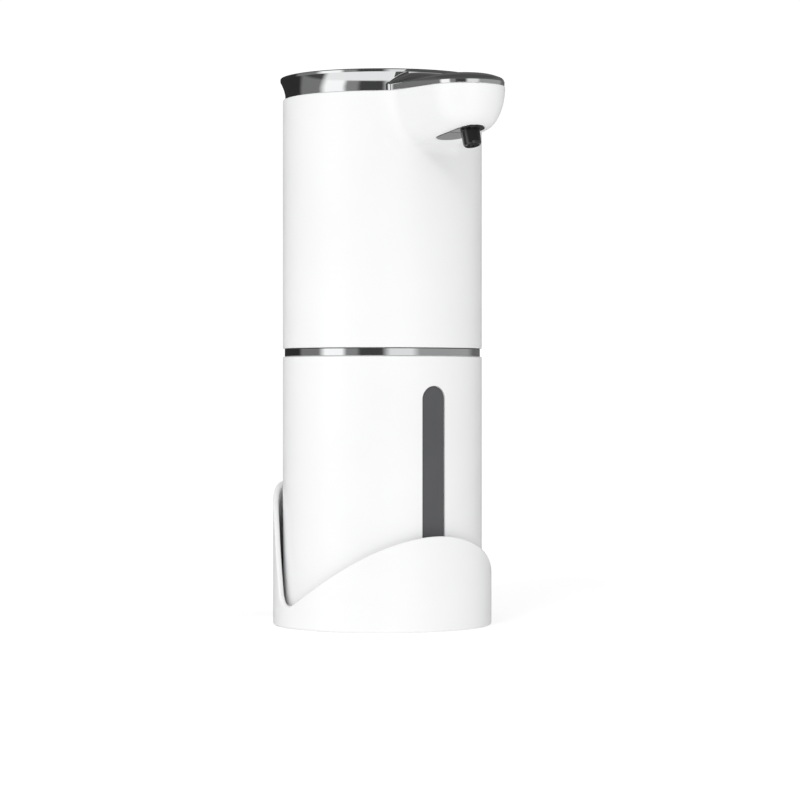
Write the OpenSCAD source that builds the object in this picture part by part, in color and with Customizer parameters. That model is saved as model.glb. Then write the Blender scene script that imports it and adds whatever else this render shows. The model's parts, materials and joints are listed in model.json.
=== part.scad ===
// Automatic soap dispenser that stands in a cup-shaped wall holder.
// +Z is up, -Y is the front (the spout), +Y is the wall side.
// The origin is on the body's axis, in the plane of the holder's underside.

/* [Body] */
// Diameter of the bottle and of the pump head
body_d = 72; // [70:1:76]
// Height of the whole dispenser, from the holder's underside to the top rim
total_h = 197; // [195:1:205]
// Wall of the white outer shells
shell_t = 2.0; // [1.8:0.1:2.2]
// Underside of the chrome ring between bottle and head
ring_z = 96.6; // [95:0.1:98]
// Height of the chrome ring
ring_h = 3.0; // [2:0.1:3]
// How far the chrome ring lies inside the body's surface
ring_recess = 0.7; // [0.4:0.1:1]

/* [Wall holder] */
// Outer diameter of the holder cup
holder_d = 79; // [79:0.5:82]
// Wall of the holder cup
holder_t = 2.0; // [1.6:0.1:2]
// Thickness of the holder's floor
holder_floor = 3.0; // [2:0.2:3]
// Height of the rim at the front hump
hump_z = 34; // [28:0.2:40]
// Height of the rim at its lowest point, beside the body
valley_z = 8.0; // [6:0.5:12]
// Height of the back plate
back_z = 52; // [46:0.5:60]
// Width of the flat pad that meets the wall
pad_w = 38; // [30:1:40]
// Distance from the body's axis to the flat of the pad
pad_y = 41; // [41:0.5:43]
// Spacing of the two wall screws
screw_pitch = 26; // [20:1:30]
// Radius of the wall screw holes
screw_hole_r = 2.1; // [1.8:0.1:2.5]

/* [Level window] */
// Width of the level window
window_w = 9.3; // [6:0.1:12]
// Top of the level window
window_top = 86.1; // [75:0.1:88]
// Bottom of the level window
window_bottom = 14; // [12:1:30]
// How far the window lies below the sleeve's surface
window_recess = 0.8; // [0.3:0.1:1]

/* [Spout] */
// Distance from the body's axis to the tip of the spout
spout_reach = 69.7; // [66:0.1:72]
// Radius of the round end of the spout
spout_end_r = 14; // [13:0.5:15]
// Half the width of the spout where it leaves the body
spout_root_w = 16.5; // [15.5:0.5:18]
// Depth of the white part of the spout
spout_depth = 15.8; // [15:0.1:18]
// How far the rounded underside draws in
spout_inset = 7.5; // [7:0.5:9]
// Slope of the underside
spout_tilt = 7.5; // [5:0.5:9]

/* [Top trim] */
// Height of the chrome rim above the white shell
trim_h = 7.7; // [6:0.1:8]
// Height of the chrome edge that follows the spout
trim_edge_h = 2.4; // [1.4:0.1:2.6]
// Radius of the chrome rim at its foot
trim_foot_r = 35.1; // [35:0.1:35.8]
// Radius of the chrome rim at its top
trim_top_r = 36.9; // [36:0.1:37.5]

/* [Nozzle] */
// Distance from the body's axis to the nozzle
nozzle_reach = 59.1; // [56:0.1:60]
// Tilt of the nozzle away from the body
nozzle_tilt = 16; // [10:1:18]
// Radius of the nozzle tube
nozzle_r = 3.3; // [3:0.1:3.8]
// Length of the nozzle below the spout
nozzle_len = 6.0; // [5:0.1:8]

/* [Gear pump] */
// Teeth on each pump gear
gear_teeth = 12; // [12:1:14]
// Gear module
gear_m = 1.0; // [0.9:0.05:1]
// Play taken off each tooth, measured along the pitch circle
gear_play = 0.08; // [0.06:0.01:0.12]

/* [Hidden] */
$fn = 96;
eps = 0.01;
over = 1;                                    // how far a cutter passes the face it cuts
body_r = body_d / 2;
shell_r = body_r - shell_t;                  // inside of the outer shells
holder_r = holder_d / 2;
cup_r = holder_r - holder_t;
head_z = ring_z + ring_h;                    // underside of the head
trim_z = total_h - trim_h;                   // underside of the chrome trim
spout_c = spout_reach - spout_end_r;         // centre of the spout's round end
spout_mid = 52;                              // where the underside's height is measured
spout_root_y = 26;                           // the spout's sides start inside the body
fit = 0.05;                                  // gap round pieces that sit in one another
move = 0.4;                                  // gap round pieces that move past a shell

// Holder's rim, seen from the side
rim_valley_r = 6;
rim_corner_r = 24;
rim_lean = 15;                               // lean of the back plate's edge from the vertical
rim_valley_y = 0.4;
rim_corner_y = 35.4;

// Bottle
foot_h = 1.2;
foot_r = 32;
foot_w = 3;
base_z = holder_floor + 0.8;
base_h = 2.2;
tank_z = base_z + base_h;
tank_r = shell_r - 0.6;
tank_t = 1.8;
shoulder_z = ring_z - 2.1;
shoulder_r = 5;
neck_r = 22;
neck_bore_r = 20;
neck_top = head_z + 3.4;

// Head floor and pump
floor_z = neck_top + 0.4;
floor_h = 2.6;
plug_r = neck_bore_r - move;
plug_t = 2;
seal_h = 1.2;
valve_x = -6;
valve_y = 13.4;
valve_r = 1.2;
pump_z = floor_z + floor_h;
pump_floor_h = 2.4;
pump_w = 40;
pump_d = 21;
pump_corner = 3;
gear_pitch_r = gear_m * gear_teeth / 2;
gear_c = 2 * gear_pitch_r + 0.1;             // distance between the gear axes
gear_add = 0.8 * gear_m;
gear_ded = 1.15 * gear_m;
gear_pa = 25;                                // pressure angle
gear_h = 5.9;
gear_gap = 0.15;                             // play above and below the gears
gear_z = pump_z + pump_floor_h + gear_gap;
cavity_h = gear_h + 2 * gear_gap;
cavity_r = gear_pitch_r + gear_add + 0.15;
cover_z = pump_z + pump_floor_h + cavity_h;
cover_h = 2;
port_y = 4.2;                                // inlet and outlet pockets beside the mesh
port_pocket_r = 2;
inlet_r = 1.3;
shaft_r = 1.0;
shaft_play = 0.05;
motor_z = cover_z + cover_h;
motor_r = 10;
motor_h = 25.4;
motor_x = -gear_c / 2;
shaft_in_motor = 9;
pump_screw_x = 17;
pump_screw_y = 7.5;
screw_r = 1.0;
screw_head_r = 1.9;
screw_head_h = 1.4;

// Hoses
dip_r = 2.8;
dip_bore_r = 1.9;
dip_bottom = 15;
hose_r = 2.0;
hose_bore_r = 1.1;
hose_start_y = pump_d / 2 + 0.6;
hose_z = pump_z + pump_floor_h + cavity_h / 2;
hose_up_y = 22.5;
hose_low_bend = 8;
hose_top_z = trim_z - 6.7;
hose_top_bend = 8;
hose_end_bend = 5;
hose_grip = 2.6;                             // height of the hose's end above the nozzle's foot

// Nozzle
nozzle_foot_z = trim_z - spout_depth + (nozzle_reach - spout_mid) * tan(spout_tilt);
tip_bore_r = 2.4;
tip_depth = 2.6;

// Plate in the spout's underside, in its own plane: Y runs back to the body
plate_r = 5.2;
plate_front = -7;
plate_back = 5.2;
plate_proud = 0.2;
seam_y = -2;

// Electrical parts
chassis_z = motor_z + motor_h + 2;
chassis_h = 2;
post_r = 3;
post_ring_r = 28;
post_angles = [10, 170, 270];
cell_r = 9.2;
cell_h = 65;
cell_x = 14;
cell_y = 8;
cell_z = motor_z + 2.4;
board_y = 23;
board_t = 1.6;
board_w = 28;
board_h = 28;
port_z = pump_z + 11;                        // height of the charging port
socket_w = 9;
socket_h = 3.3;

// Charging port cover
flap_w = 13;
flap_h = 8;
flap_top = port_z + 4;
flap_r = body_r - 0.1;                       // outer face, just below the shell's surface
flap_back = flap_r - 1.2;
bead_r = 0.5;                                // round hinge along the cover's top edge
bead_y = flap_back + bead_r;
bead_z = flap_top - 0.7;

// Top
panel_z = total_h - 2.6;
panel_h = 1.4;
panel_r = 33.3;
ledge_r = 31.5;
button_r = 7;
button_travel = 0.8;
button_lip_r = 8.2;
switch_z = panel_z - 3.6;

// ---- shared shapes -------------------------------------------------------

// A plain tube on the Z axis
module tube(r, bore, h) {
    difference() {
        cylinder(r = r, h = h);
        translate([0, 0, -over]) cylinder(r = bore, h = h + 2 * over);
    }
}

// A flat ring outline
module ring2d(r, bore) {
    difference() {
        circle(r);
        circle(bore);
    }
}

// Points along an arc in a plane
function arc(cx, cy, r, a0, a1, n) =
    [for (i = [0:n]) let (a = a0 + (a1 - a0) * i / n) [cx + r * cos(a), cy + r * sin(a)]];

// A rounded rectangle standing on Z = 0
module slab(w, d, h, r) {
    linear_extrude(h) hull()
        for (x = [-1, 1], y = [-1, 1]) translate([x * (w / 2 - r), y * (d / 2 - r)]) circle(r, $fn = 32);
}

// A cap screw with its head's underside at the origin, pointing down
module screw(r, length) {
    difference() {
        cylinder(r = screw_head_r, h = screw_head_h);
        translate([0, 0, screw_head_h / 2]) cylinder(r = 0.9, h = screw_head_h, $fn = 6);
    }
    translate([0, 0, -length]) cylinder(r = r, h = length + eps);
}

// ---- wall holder ---------------------------------------------------------

// Height of the rim at an angle from the front, over the front hump
function hump(a) = valley_z + (hump_z - valley_z) * pow((1 + cos(a * 180 / 88)) / 2, 0.6);

// Side outline of everything above the rim: Y across, Z up
rim_cut_points = concat(
    [[-holder_r - over, back_z + 20], [-holder_r - over, hump_z]],
    [for (a = [0:4:88]) [-holder_r * cos(a), hump(a)]],
    arc(rim_valley_y, valley_z + rim_valley_r, rim_valley_r, -90, -rim_lean, 5),
    arc(rim_corner_y, back_z - rim_corner_r, rim_corner_r, 180 - rim_lean, 90, 5),
    [[holder_r + 6, back_z], [holder_r + 6, back_z + 20]]);

module rim_cut() {
    translate([-holder_r - over, 0, 0]) rotate([90, 0, 90])
        linear_extrude(holder_d + 2 * over) polygon(rim_cut_points);
}

module holder_solid() {
    foot_fillet = 0.8;
    rotate_extrude() polygon(concat(
        [[0, 0]],
        arc(holder_r - foot_fillet, foot_fillet, foot_fillet, -90, 0, 5),
        [[holder_r, back_z + over], [0, back_z + over]]));
    translate([-pad_w / 2, 0, 5]) cube([pad_w, pad_y, back_z - 9]);
}

// Centres of the wall screws
module wall_screw_places() {
    for (k = [-1, 1]) translate([0, pad_y, 30 + k * screw_pitch / 2]) rotate([90, 0, 0]) children();
}

module wall_holder() {
    head_sink = 2.2;
    color("white") difference() {
        holder_solid();
        translate([0, 0, holder_floor]) cylinder(r = cup_r, h = back_z + 2 * over);
        rim_cut();
        wall_screw_places() translate([0, 0, -over]) cylinder(r = screw_hole_r, h = 10);
        wall_screw_places() translate([0, 0, pad_y - cup_r - head_sink + 0.2])
            cylinder(r1 = screw_hole_r, r2 = screw_hole_r + head_sink, h = head_sink);
    }
}

module wall_pad() {
    pad_t = 1;
    color("darkslategray") difference() {
        translate([0, pad_y + pad_t, 27.5]) rotate([90, 0, 0]) slab(pad_w - 4, 38, pad_t, 3);
        wall_screw_places() translate([0, 0, -2]) cylinder(r = screw_hole_r + 2, h = 4);
    }
}

// ---- bottle --------------------------------------------------------------

module foot_ring() {
    color("dimgray") translate([0, 0, holder_floor]) tube(foot_r, foot_r - foot_w, foot_h);
}

module bottle_base() {
    color("white") difference() {
        translate([0, 0, base_z]) cylinder(r = shell_r - 0.2, h = base_h);
        translate([0, 0, holder_floor]) tube(foot_r + fit, foot_r - foot_w - fit, foot_h + fit);
    }
}

// Slot outline of the level window, seen from the front
module window_slot(gap, depth) {
    w = window_w - 2 * gap;
    translate([0, -body_r + depth, 0]) rotate([90, 0, 0]) linear_extrude(depth + over) hull() {
        translate([0, window_top - window_w / 2]) circle(w / 2);
        translate([0, window_bottom + window_w / 2]) circle(w / 2);
    }
}

module bottle_sleeve() {
    bottom = holder_floor + 0.4;
    edge = 1;
    color("white") difference() {
        rotate_extrude() polygon(concat(
            [[shell_r, bottom]],
            arc(body_r - edge, bottom + edge, edge, -90, 0, 4),
            [[body_r, ring_z], [shell_r, ring_z]]));
        window_slot(0, 4);
    }
}

module level_window() {
    color("dimgray") intersection() {
        window_slot(fit, 4);
        translate([0, 0, window_bottom - over])
            tube(body_r - window_recess, tank_r + 0.1, window_top - window_bottom + 2 * over);
    }
}

module liquid_tank() {
    inner_r = tank_r - tank_t;
    color("slategray") rotate_extrude() polygon(concat(
        [[0, tank_z], [tank_r, tank_z]],
        arc(tank_r - shoulder_r, shoulder_z - shoulder_r, shoulder_r, 0, 90, 6),
        [[neck_r, shoulder_z], [neck_r, neck_top], [neck_bore_r, neck_top],
         [neck_bore_r, shoulder_z - tank_t]],
        arc(inner_r - shoulder_r + tank_t, shoulder_z - shoulder_r, shoulder_r - tank_t, 90, 0, 6),
        [[inner_r, tank_z + tank_t], [0, tank_z + tank_t]]));
}

module trim_ring() {
    color("silver") rotate_extrude() polygon([
        [ledge_r, shoulder_z], [shell_r - 0.2, shoulder_z], [shell_r - 0.2, ring_z],
        [body_r - ring_recess, ring_z], [body_r - ring_recess, head_z], [ledge_r, head_z]]);
}

// ---- head shell and spout ------------------------------------------------

// Plan of the spout, drawn in by an inset
function spout_points(inset) = concat(
    [[spout_root_w - inset, -spout_root_y], [-spout_root_w + inset, -spout_root_y]],
    arc(0, -spout_c, spout_end_r - inset, 182, 358, 22));

// The bowl of the spout; shrink gives its inside
module spout_bowl(shrink) {
    steps = 7;
    hull() for (i = [0:steps])
        let (a = 90 * i / steps, drop = (spout_depth - shrink) * sin(a))
            translate([0, -spout_mid, trim_z - drop - eps * cos(a)]) rotate([-spout_tilt * sin(a), 0, 0])
                translate([0, spout_mid, 0]) linear_extrude(eps)
                    polygon(spout_points(shrink + spout_inset * (1 - cos(a))));
}

// Frame of the spout's flat underside: Z = 0 is its surface, Y runs back to the body
module underside() {
    translate([0, -spout_mid, trim_z - spout_depth]) rotate([-spout_tilt, 0, 0]) children();
}

// Frame of the nozzle: Z points up along its tube
module nozzle_frame() {
    translate([0, -nozzle_reach, nozzle_foot_z]) rotate([-nozzle_tilt, 0, 0]) children();
}

// Outline of the glossy plate in the underside's plane: the lens behind, the nozzle's base in front
module plate2d(gap) {
    r = plate_r - gap;
    for (y = [plate_front, plate_back]) translate([0, y]) circle(r);
    translate([-r, plate_front]) square([2 * r, plate_back - plate_front]);
}

// The plate ahead of the seam (side = -1) or behind it (side = 1)
module plate_part(side) {
    intersection() {
        plate2d(fit);
        translate([-plate_r, seam_y + fit / 2 + (side < 0 ? -20 - fit : 0)]) square([2 * plate_r, 20]);
    }
}

// Opening and pocket of the charging port, with the pocket's flat floor
module port_cut() {
    wide = flap_w + 2 * move;
    translate([-wide / 2, flap_back - 0.3, flap_top - flap_h - move])
        cube([wide, 4, flap_h + 2 * move]);
    translate([-5, 28, port_z - 2.6]) cube([10, 10, 5]);
}

module head_shell() {
    boss = [18, 3.5, 11];
    color("white") difference() {
        union() {
            difference() {
                union() {
                    translate([0, 0, head_z]) cylinder(r = body_r, h = trim_z - head_z);
                    spout_bowl(0);
                }
                translate([0, 0, head_z - over]) cylinder(r = shell_r, h = trim_z - head_z + 2 * over);
                spout_bowl(shell_t);
            }
            translate([-boss[0] / 2, shell_r - boss[1], port_z - boss[2] / 2]) cube(boss + [0, 0.6, 0]);
        }
        underside() translate([0, 0, -over]) linear_extrude(5) plate2d(0);
        port_cut();
    }
}

module head_bulkhead() {
    color("gainsboro") difference() {
        union() {
            translate([0, 0, floor_z]) cylinder(r = shell_r - 0.1, h = floor_h);
            translate([0, 0, head_z - 3.6]) tube(plug_r, plug_r - plug_t, floor_z - head_z + 4);
            for (a = post_angles) rotate(a) translate([post_ring_r, 0, pump_z - eps])
                cylinder(r = post_r, h = chassis_z - pump_z + eps);
        }
        translate([0, 0, floor_z - over]) tube(neck_r + 0.2, plug_r, seal_h + over - 0.4);
        translate([0, port_y, floor_z - over]) cylinder(r = dip_r + fit, h = floor_h + 2 * over);
        translate([valve_x, valve_y, floor_z - over]) cylinder(r = valve_r, h = floor_h + 2 * over);
        for (a = post_angles) rotate(a) translate([post_ring_r, 0, chassis_z - 8])
            cylinder(r = screw_r + fit, h = 8 + over);
    }
}

module neck_seal() {
    color("dimgray") translate([0, 0, neck_top]) tube(neck_r + 0.1, plug_r + 0.1, seal_h - 0.1);
}

module air_valve() {
    color("lightgray") translate([valve_x, valve_y, floor_z]) {
        translate([0, 0, -0.8]) cylinder(r = 2.1, h = 0.8);
        cylinder(r = valve_r, h = floor_h);
        translate([0, 0, floor_h]) cylinder(r1 = 1.8, r2 = 1.2, h = 0.8);
    }
}

module dip_tube() {
    color("lightgray") translate([0, port_y, dip_bottom]) tube(dip_r, dip_bore_r, pump_z - dip_bottom);
}

module dip_filter() {
    color("white") translate([0, port_y, dip_bottom - 5.5]) difference() {
        cylinder(r = 4.6, h = 9);
        translate([0, 0, 1.2]) cylinder(r = 3.4, h = 4.3);
        translate([0, 0, 5.5 - eps]) cylinder(r = dip_r + fit, h = 4);
        for (a = [0:60:120]) rotate(a) translate([-5, -0.6, 1.8]) cube([10, 1.2, 3]);
    }
}

// ---- gear pump -----------------------------------------------------------

base_circle_r = gear_pitch_r * cos(gear_pa);
function involute(r) = let (a = acos(min(1, base_circle_r / r))) tan(a) * 180 / PI - a;
// Half the angle of a tooth at radius r
function tooth_half(r) = 90 / gear_teeth - gear_play / gear_pitch_r * 90 / PI
    + involute(gear_pitch_r) - involute(max(r, base_circle_r));
gear_root_r = gear_pitch_r - gear_ded;
gear_tip_r = gear_pitch_r + gear_add;
flank_steps = 5;
flank = concat([gear_root_r],
    [for (i = [0:flank_steps]) base_circle_r + (gear_tip_r - base_circle_r) * i / flank_steps]);

function polar(r, a) = [r * cos(a), r * sin(a)];
function tooth(at) = concat(
    [for (r = flank) polar(r, at - tooth_half(r))],
    [for (i = [len(flank) - 1:-1:0]) polar(flank[i], at + tooth_half(flank[i]))]);

module gear(bore) {
    difference() {
        linear_extrude(gear_h) polygon([for (k = [0:gear_teeth - 1]) each tooth(k * 360 / gear_teeth)]);
        translate([0, 0, -over]) cylinder(r = bore, h = gear_h + 2 * over);
    }
}

// Corners where the pump's screws go
module pump_screw_places() {
    for (x = [-1, 1], y = [-1, 1]) translate([x * pump_screw_x, y * pump_screw_y, 0]) children();
}

module pump_housing() {
    nipple_l = 5;
    color("lightsteelblue") difference() {
        union() {
            translate([0, 0, pump_z]) slab(pump_w, pump_d, cover_z - pump_z, pump_corner);
            translate([0, port_y, pump_z - nipple_l]) cylinder(r = dip_bore_r - fit, h = nipple_l + eps);
            translate([0, -pump_d / 2 + eps, hose_z]) rotate([90, 0, 0])
                cylinder(r = hose_bore_r - fit, h = nipple_l - 1.2);
        }
        for (x = [-1, 1]) translate([x * gear_c / 2, 0, pump_z + pump_floor_h])
            cylinder(r = cavity_r, h = cavity_h + over);
        for (y = [-1, 1]) translate([0, y * port_y, pump_z + pump_floor_h])
            cylinder(r = port_pocket_r, h = cavity_h + over);
        translate([0, port_y, pump_z - nipple_l - over])
            cylinder(r = inlet_r, h = nipple_l + pump_floor_h + 2 * over);
        translate([0, -port_y, hose_z]) rotate([90, 0, 0]) cylinder(r = 0.7, h = pump_d);
        translate([gear_c / 2, 0, pump_z + 1]) cylinder(r = shaft_r, h = pump_floor_h);
        pump_screw_places() translate([0, 0, cover_z - 5]) cylinder(r = screw_r + fit, h = 5 + over);
    }
}

module pump_cover() {
    color("lightsteelblue") difference() {
        translate([0, 0, cover_z]) slab(pump_w, pump_d, cover_h, pump_corner);
        translate([motor_x, 0, cover_z - over])
            cylinder(r = shaft_r + shaft_play, h = cover_h + 2 * over);
        translate([gear_c / 2, 0, cover_z - over]) cylinder(r = shaft_r, h = over + 1.2);
        pump_screw_places() translate([0, 0, cover_z - over])
            cylinder(r = screw_r + fit, h = cover_h + 2 * over);
    }
}

module pump_screws() {
    color("silver") pump_screw_places() translate([0, 0, cover_z + cover_h]) screw(screw_r, 6.5);
}

module idler_pin() {
    pin_z = pump_z + 1;
    color("silver") translate([gear_c / 2, 0, pin_z]) cylinder(r = shaft_r, h = cover_z + 1.2 - pin_z);
}

module drive_gear() {
    color("ivory") translate([motor_x, 0, gear_z]) gear(shaft_r);
}

// Half a tooth pitch round from the drive gear, so that the two mesh
module idler_gear() {
    color("ivory") translate([gear_c / 2, 0, gear_z]) rotate(180 + 180 / gear_teeth)
        gear(shaft_r + shaft_play);
}

module motor_shaft() {
    color("silver") translate([motor_x, 0, gear_z])
        cylinder(r = shaft_r, h = motor_z - gear_z + shaft_in_motor - 0.5);
}

module pump_motor() {
    end_h = 1.6;
    color("silver") difference() {
        translate([motor_x, 0, motor_z]) union() {
            cylinder(r = motor_r, h = motor_h - end_h);
            translate([0, 0, motor_h - end_h]) cylinder(r = motor_r - 1.2, h = end_h);
        }
        translate([motor_x, 0, motor_z - over])
            cylinder(r = shaft_r + shaft_play, h = shaft_in_motor + over);
    }
}

// ---- delivery hose: straights and bends in the plane of symmetry ----------

// Rings along the hose: distance forward of the axis, height, and heading above the horizontal
hose_end_y = nozzle_reach - (hose_end_bend + (hose_top_z - hose_end_bend - nozzle_foot_z)
    * sin(nozzle_tilt)) / cos(nozzle_tilt);
hose_rings = concat(
    [[hose_start_y, hose_z, 0]],
    [for (h = [0:15:90])
        [hose_up_y - hose_low_bend * (1 - sin(h)), hose_z + hose_low_bend * (1 - cos(h)), h]],
    [for (h = [90:-15:0])
        [hose_up_y + hose_top_bend * (1 - sin(h)), hose_top_z - hose_top_bend * (1 - cos(h)), h]],
    [for (k = [0:5]) let (h = -(90 - nozzle_tilt) * k / 5)
        [hose_end_y - hose_end_bend * sin(h), hose_top_z - hose_end_bend * (1 - cos(h)), h]],
    [[nozzle_reach - hose_grip * sin(nozzle_tilt), nozzle_foot_z + hose_grip * cos(nozzle_tilt),
      nozzle_tilt - 90]]);

// Points of one ring of the hose's wall
function hose_ring(ring, r) = [for (a = [0:30:330])
    [r * cos(a), -ring[0] + r * sin(a) * sin(ring[2]), ring[1] + r * sin(a) * cos(ring[2])]];

module delivery_hose() {
    sides = 12;
    last = len(hose_rings) - 1;
    points = [for (ring = hose_rings) each concat(hose_ring(ring, hose_r), hose_ring(ring, hose_bore_r))];
    function at(k, side, wall) = k * 2 * sides + side % sides + wall * sides;
    color("lightgray") polyhedron(points, [
        for (k = [0:last - 1], i = [0:sides - 1])
            [at(k, i, 0), at(k, i + 1, 0), at(k + 1, i + 1, 0), at(k + 1, i, 0)],
        for (k = [0:last - 1], i = [0:sides - 1])
            [at(k, i, 1), at(k + 1, i, 1), at(k + 1, i + 1, 1), at(k, i + 1, 1)],
        for (i = [0:sides - 1]) [at(0, i, 0), at(0, i, 1), at(0, i + 1, 1), at(0, i + 1, 0)],
        for (i = [0:sides - 1]) [at(last, i, 0), at(last, i + 1, 0), at(last, i + 1, 1), at(last, i, 1)]],
        convexity = 6);
}

// ---- nozzle and sensor ---------------------------------------------------

module nozzle_body() {
    color("black") difference() {
        union() {
            underside() translate([0, 0, -plate_proud]) linear_extrude(plate_proud + 1.2) plate_part(-1);
            nozzle_frame() {
                translate([0, 0, -nozzle_len]) cylinder(r = nozzle_r, h = nozzle_len + 2.4);
                cylinder(r = hose_bore_r - fit, h = 5);
            }
        }
        nozzle_frame() {
            translate([0, 0, -nozzle_len - over]) cylinder(r = tip_bore_r, h = tip_depth + over);
            translate([0, 0, -nozzle_len]) cylinder(r = 0.7, h = nozzle_len + 6);
        }
    }
}

module nozzle_insert() {
    color("dimgray") nozzle_frame() translate([0, 0, -nozzle_len + 0.3]) difference() {
        cylinder(r = tip_bore_r, h = tip_depth - 0.3);
        for (a = [45:90:315]) rotate(a) translate([1.1, 0, -over]) cylinder(r = 0.4, h = tip_depth + over);
    }
}

module sensor_window() {
    color("gray") underside() translate([0, 0, -plate_proud]) linear_extrude(plate_proud + shell_t)
        plate_part(1);
}

module sensor_module() {
    color("darkgreen") underside() translate([-4.5, -1.4, shell_t]) cube([9, 9, 1.2]);
    color("black") underside() for (y = [0.6, 4.8]) translate([0, y, shell_t + 1.2 - eps])
        cylinder(r = 1.6, h = 2.6);
}

// ---- chassis and electrical parts ----------------------------------------

module chassis_plate() {
    color("gainsboro") difference() {
        union() {
            translate([0, 0, chassis_z]) cylinder(r = shell_r - 0.2, h = chassis_h);
            translate([motor_x, 0, chassis_z - 2]) cylinder(r = 6, h = 2 + eps);
        }
        translate([cell_x, cell_y, chassis_z - 3]) cylinder(r = cell_r + 0.2, h = 6);
        translate([0, -hose_up_y, chassis_z - over]) cylinder(r = hose_r + 0.6, h = 4);
        for (a = post_angles) rotate(a) translate([post_ring_r, 0, chassis_z - over])
            cylinder(r = screw_r + fit, h = 4);
    }
}

module chassis_screws() {
    color("silver") for (a = post_angles) rotate(a)
        translate([post_ring_r, 0, chassis_z + chassis_h]) screw(screw_r, 8);
}

module battery_cell() {
    color("royalblue") translate([cell_x, cell_y, cell_z]) {
        cylinder(r = cell_r, h = cell_h - 1.2);
        translate([0, 0, cell_h - 1.2 - eps]) cylinder(r = 3, h = 1.2 + eps);
    }
}

module battery_cradle() {
    foot = chassis_z + chassis_h;
    color("gainsboro") difference() {
        translate([cell_x, cell_y, foot]) tube(cell_r + 1.7, cell_r + 0.1, 28);
        translate([cell_x - 6, cell_y, foot - over]) cube([12, 14, 28 + 2 * over]);
    }
}

module control_board() {
    color("darkgreen") difference() {
        translate([-board_w / 2, board_y, pump_z + 1]) cube([board_w, board_t, board_h]);
        for (x = [-1, 1]) translate([x * (board_w / 2 - 3), board_y - over, pump_z + board_h - 2])
            rotate([-90, 0, 0]) cylinder(r = 1.1, h = board_t + 2 * over);
    }
    color("black") translate([-4, board_y - 1.2, pump_z + 17]) cube([8, 1.2 + eps, 8]);
}

module charge_socket() {
    back = board_y + board_t;
    face = shell_r - 3.6;
    color("silver") translate([0, face, port_z]) rotate([90, 0, 0]) difference() {
        slab(socket_w, socket_h, face - back, 1.5);
        translate([0, 0, -over]) difference() {
            slab(socket_w - 0.8, socket_h - 0.8, 6, 1.2);
            slab(6.6, 0.7, 6, 0.3);
        }
    }
}

module port_cover() {
    plug = [8, 1, 3];
    tall = bead_z - flap_top + flap_h;
    color("whitesmoke") {
        intersection() {
            translate([0, 0, bead_z - tall]) cylinder(r = flap_r, h = tall, $fn = 360);
            translate([-flap_w / 2, flap_back, bead_z - tall]) cube([flap_w, 3, tall]);
        }
        translate([-4.5, bead_y, bead_z]) rotate([0, 90, 0]) cylinder(r = bead_r, h = 9);
        translate([-plug[0] / 2, flap_back - plug[1], port_z - plug[2] / 2]) cube(plug + [0, eps, 0]);
    }
}

// ---- top -----------------------------------------------------------------

// Outer profile of the flared rim: a short foot, a hollow flare and an upright lip
module rim_profile() {
    foot = 1.4;
    lip = 1.1;
    edge = 0.3;
    rise = trim_h - foot - lip;
    steps = 6;
    polygon(concat(
        [[ledge_r, trim_z - 2.7], [shell_r - 0.1, trim_z - 2.7], [shell_r - 0.1, trim_z],
         [trim_foot_r, trim_z]],
        [for (i = [0:steps]) let (t = i / steps)
            [trim_foot_r + (trim_top_r - trim_foot_r) * pow(t, 1.6), trim_z + foot + rise * t]],
        [[trim_top_r, total_h - edge], [trim_top_r - edge, total_h], [panel_r + 0.1, total_h],
         [panel_r + 0.1, panel_z], [ledge_r, panel_z]]));
}

module top_trim() {
    crown_h = trim_edge_h + 1.7;
    shoulder_h = trim_edge_h + 1;
    color("silver") {
        rotate_extrude() rim_profile();
        difference() {
            hull() {
                translate([0, 0, trim_z]) linear_extrude(trim_edge_h) polygon(spout_points(0.3));
                translate([0, 0, trim_z + shoulder_h]) linear_extrude(eps) polygon(spout_points(3));
                translate([0, 0, trim_z + crown_h]) linear_extrude(eps) polygon(spout_points(8));
            }
            translate([0, 0, trim_z - over]) cylinder(r = ledge_r + 1, h = trim_h);
        }
    }
}

module top_panel() {
    color("dimgray") difference() {
        translate([0, 0, panel_z]) cylinder(r = panel_r, h = panel_h);
        translate([0, 0, panel_z - over]) cylinder(r = button_r + 0.3, h = panel_h + 2 * over);
        translate([0, -14, panel_z - over]) cylinder(r = 1.2, h = panel_h + 2 * over);
    }
    color("dimgray") for (x = [-1, 1]) translate([x * 10, 0, switch_z])
        cylinder(r = 1.4, h = panel_z - switch_z + eps);
}

module status_lens() {
    color("lightskyblue") translate([0, -14, panel_z]) cylinder(r = 1.2, h = panel_h);
}

module power_button() {
    foot = panel_z - 0.4;
    color("silver") {
        translate([0, 0, foot]) cylinder(r = button_r, h = panel_h + 0.8);
        translate([0, 0, foot - 0.6]) tube(button_lip_r, button_r - 1.2, 0.6 + eps);
    }
}

module button_board() {
    color("darkgreen") translate([0, 0, switch_z - 1]) cylinder(r = 12, h = 1);
}

module tact_switch() {
    plunger_top = panel_z - 0.4 - button_travel - 0.1;
    color("black") {
        translate([-3, -3, switch_z]) cube([6, 6, 1.6]);
        translate([0, 0, switch_z + 1.6 - eps]) cylinder(r = 1.6, h = plunger_top - switch_z - 1.6);
    }
}

wall_holder();
wall_pad();
foot_ring();
bottle_base();
bottle_sleeve();
liquid_tank();
level_window();
trim_ring();
head_shell();
head_bulkhead();
neck_seal();
air_valve();
dip_tube();
dip_filter();
pump_housing();
pump_cover();
pump_screws();
idler_pin();
drive_gear();
idler_gear();
motor_shaft();
pump_motor();
delivery_hose();
chassis_plate();
chassis_screws();
battery_cell();
battery_cradle();
control_board();
charge_socket();
port_cover();
nozzle_body();
nozzle_insert();
sensor_window();
sensor_module();
top_trim();
top_panel();
status_lens();
power_button();
button_board();
tact_switch();
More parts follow.
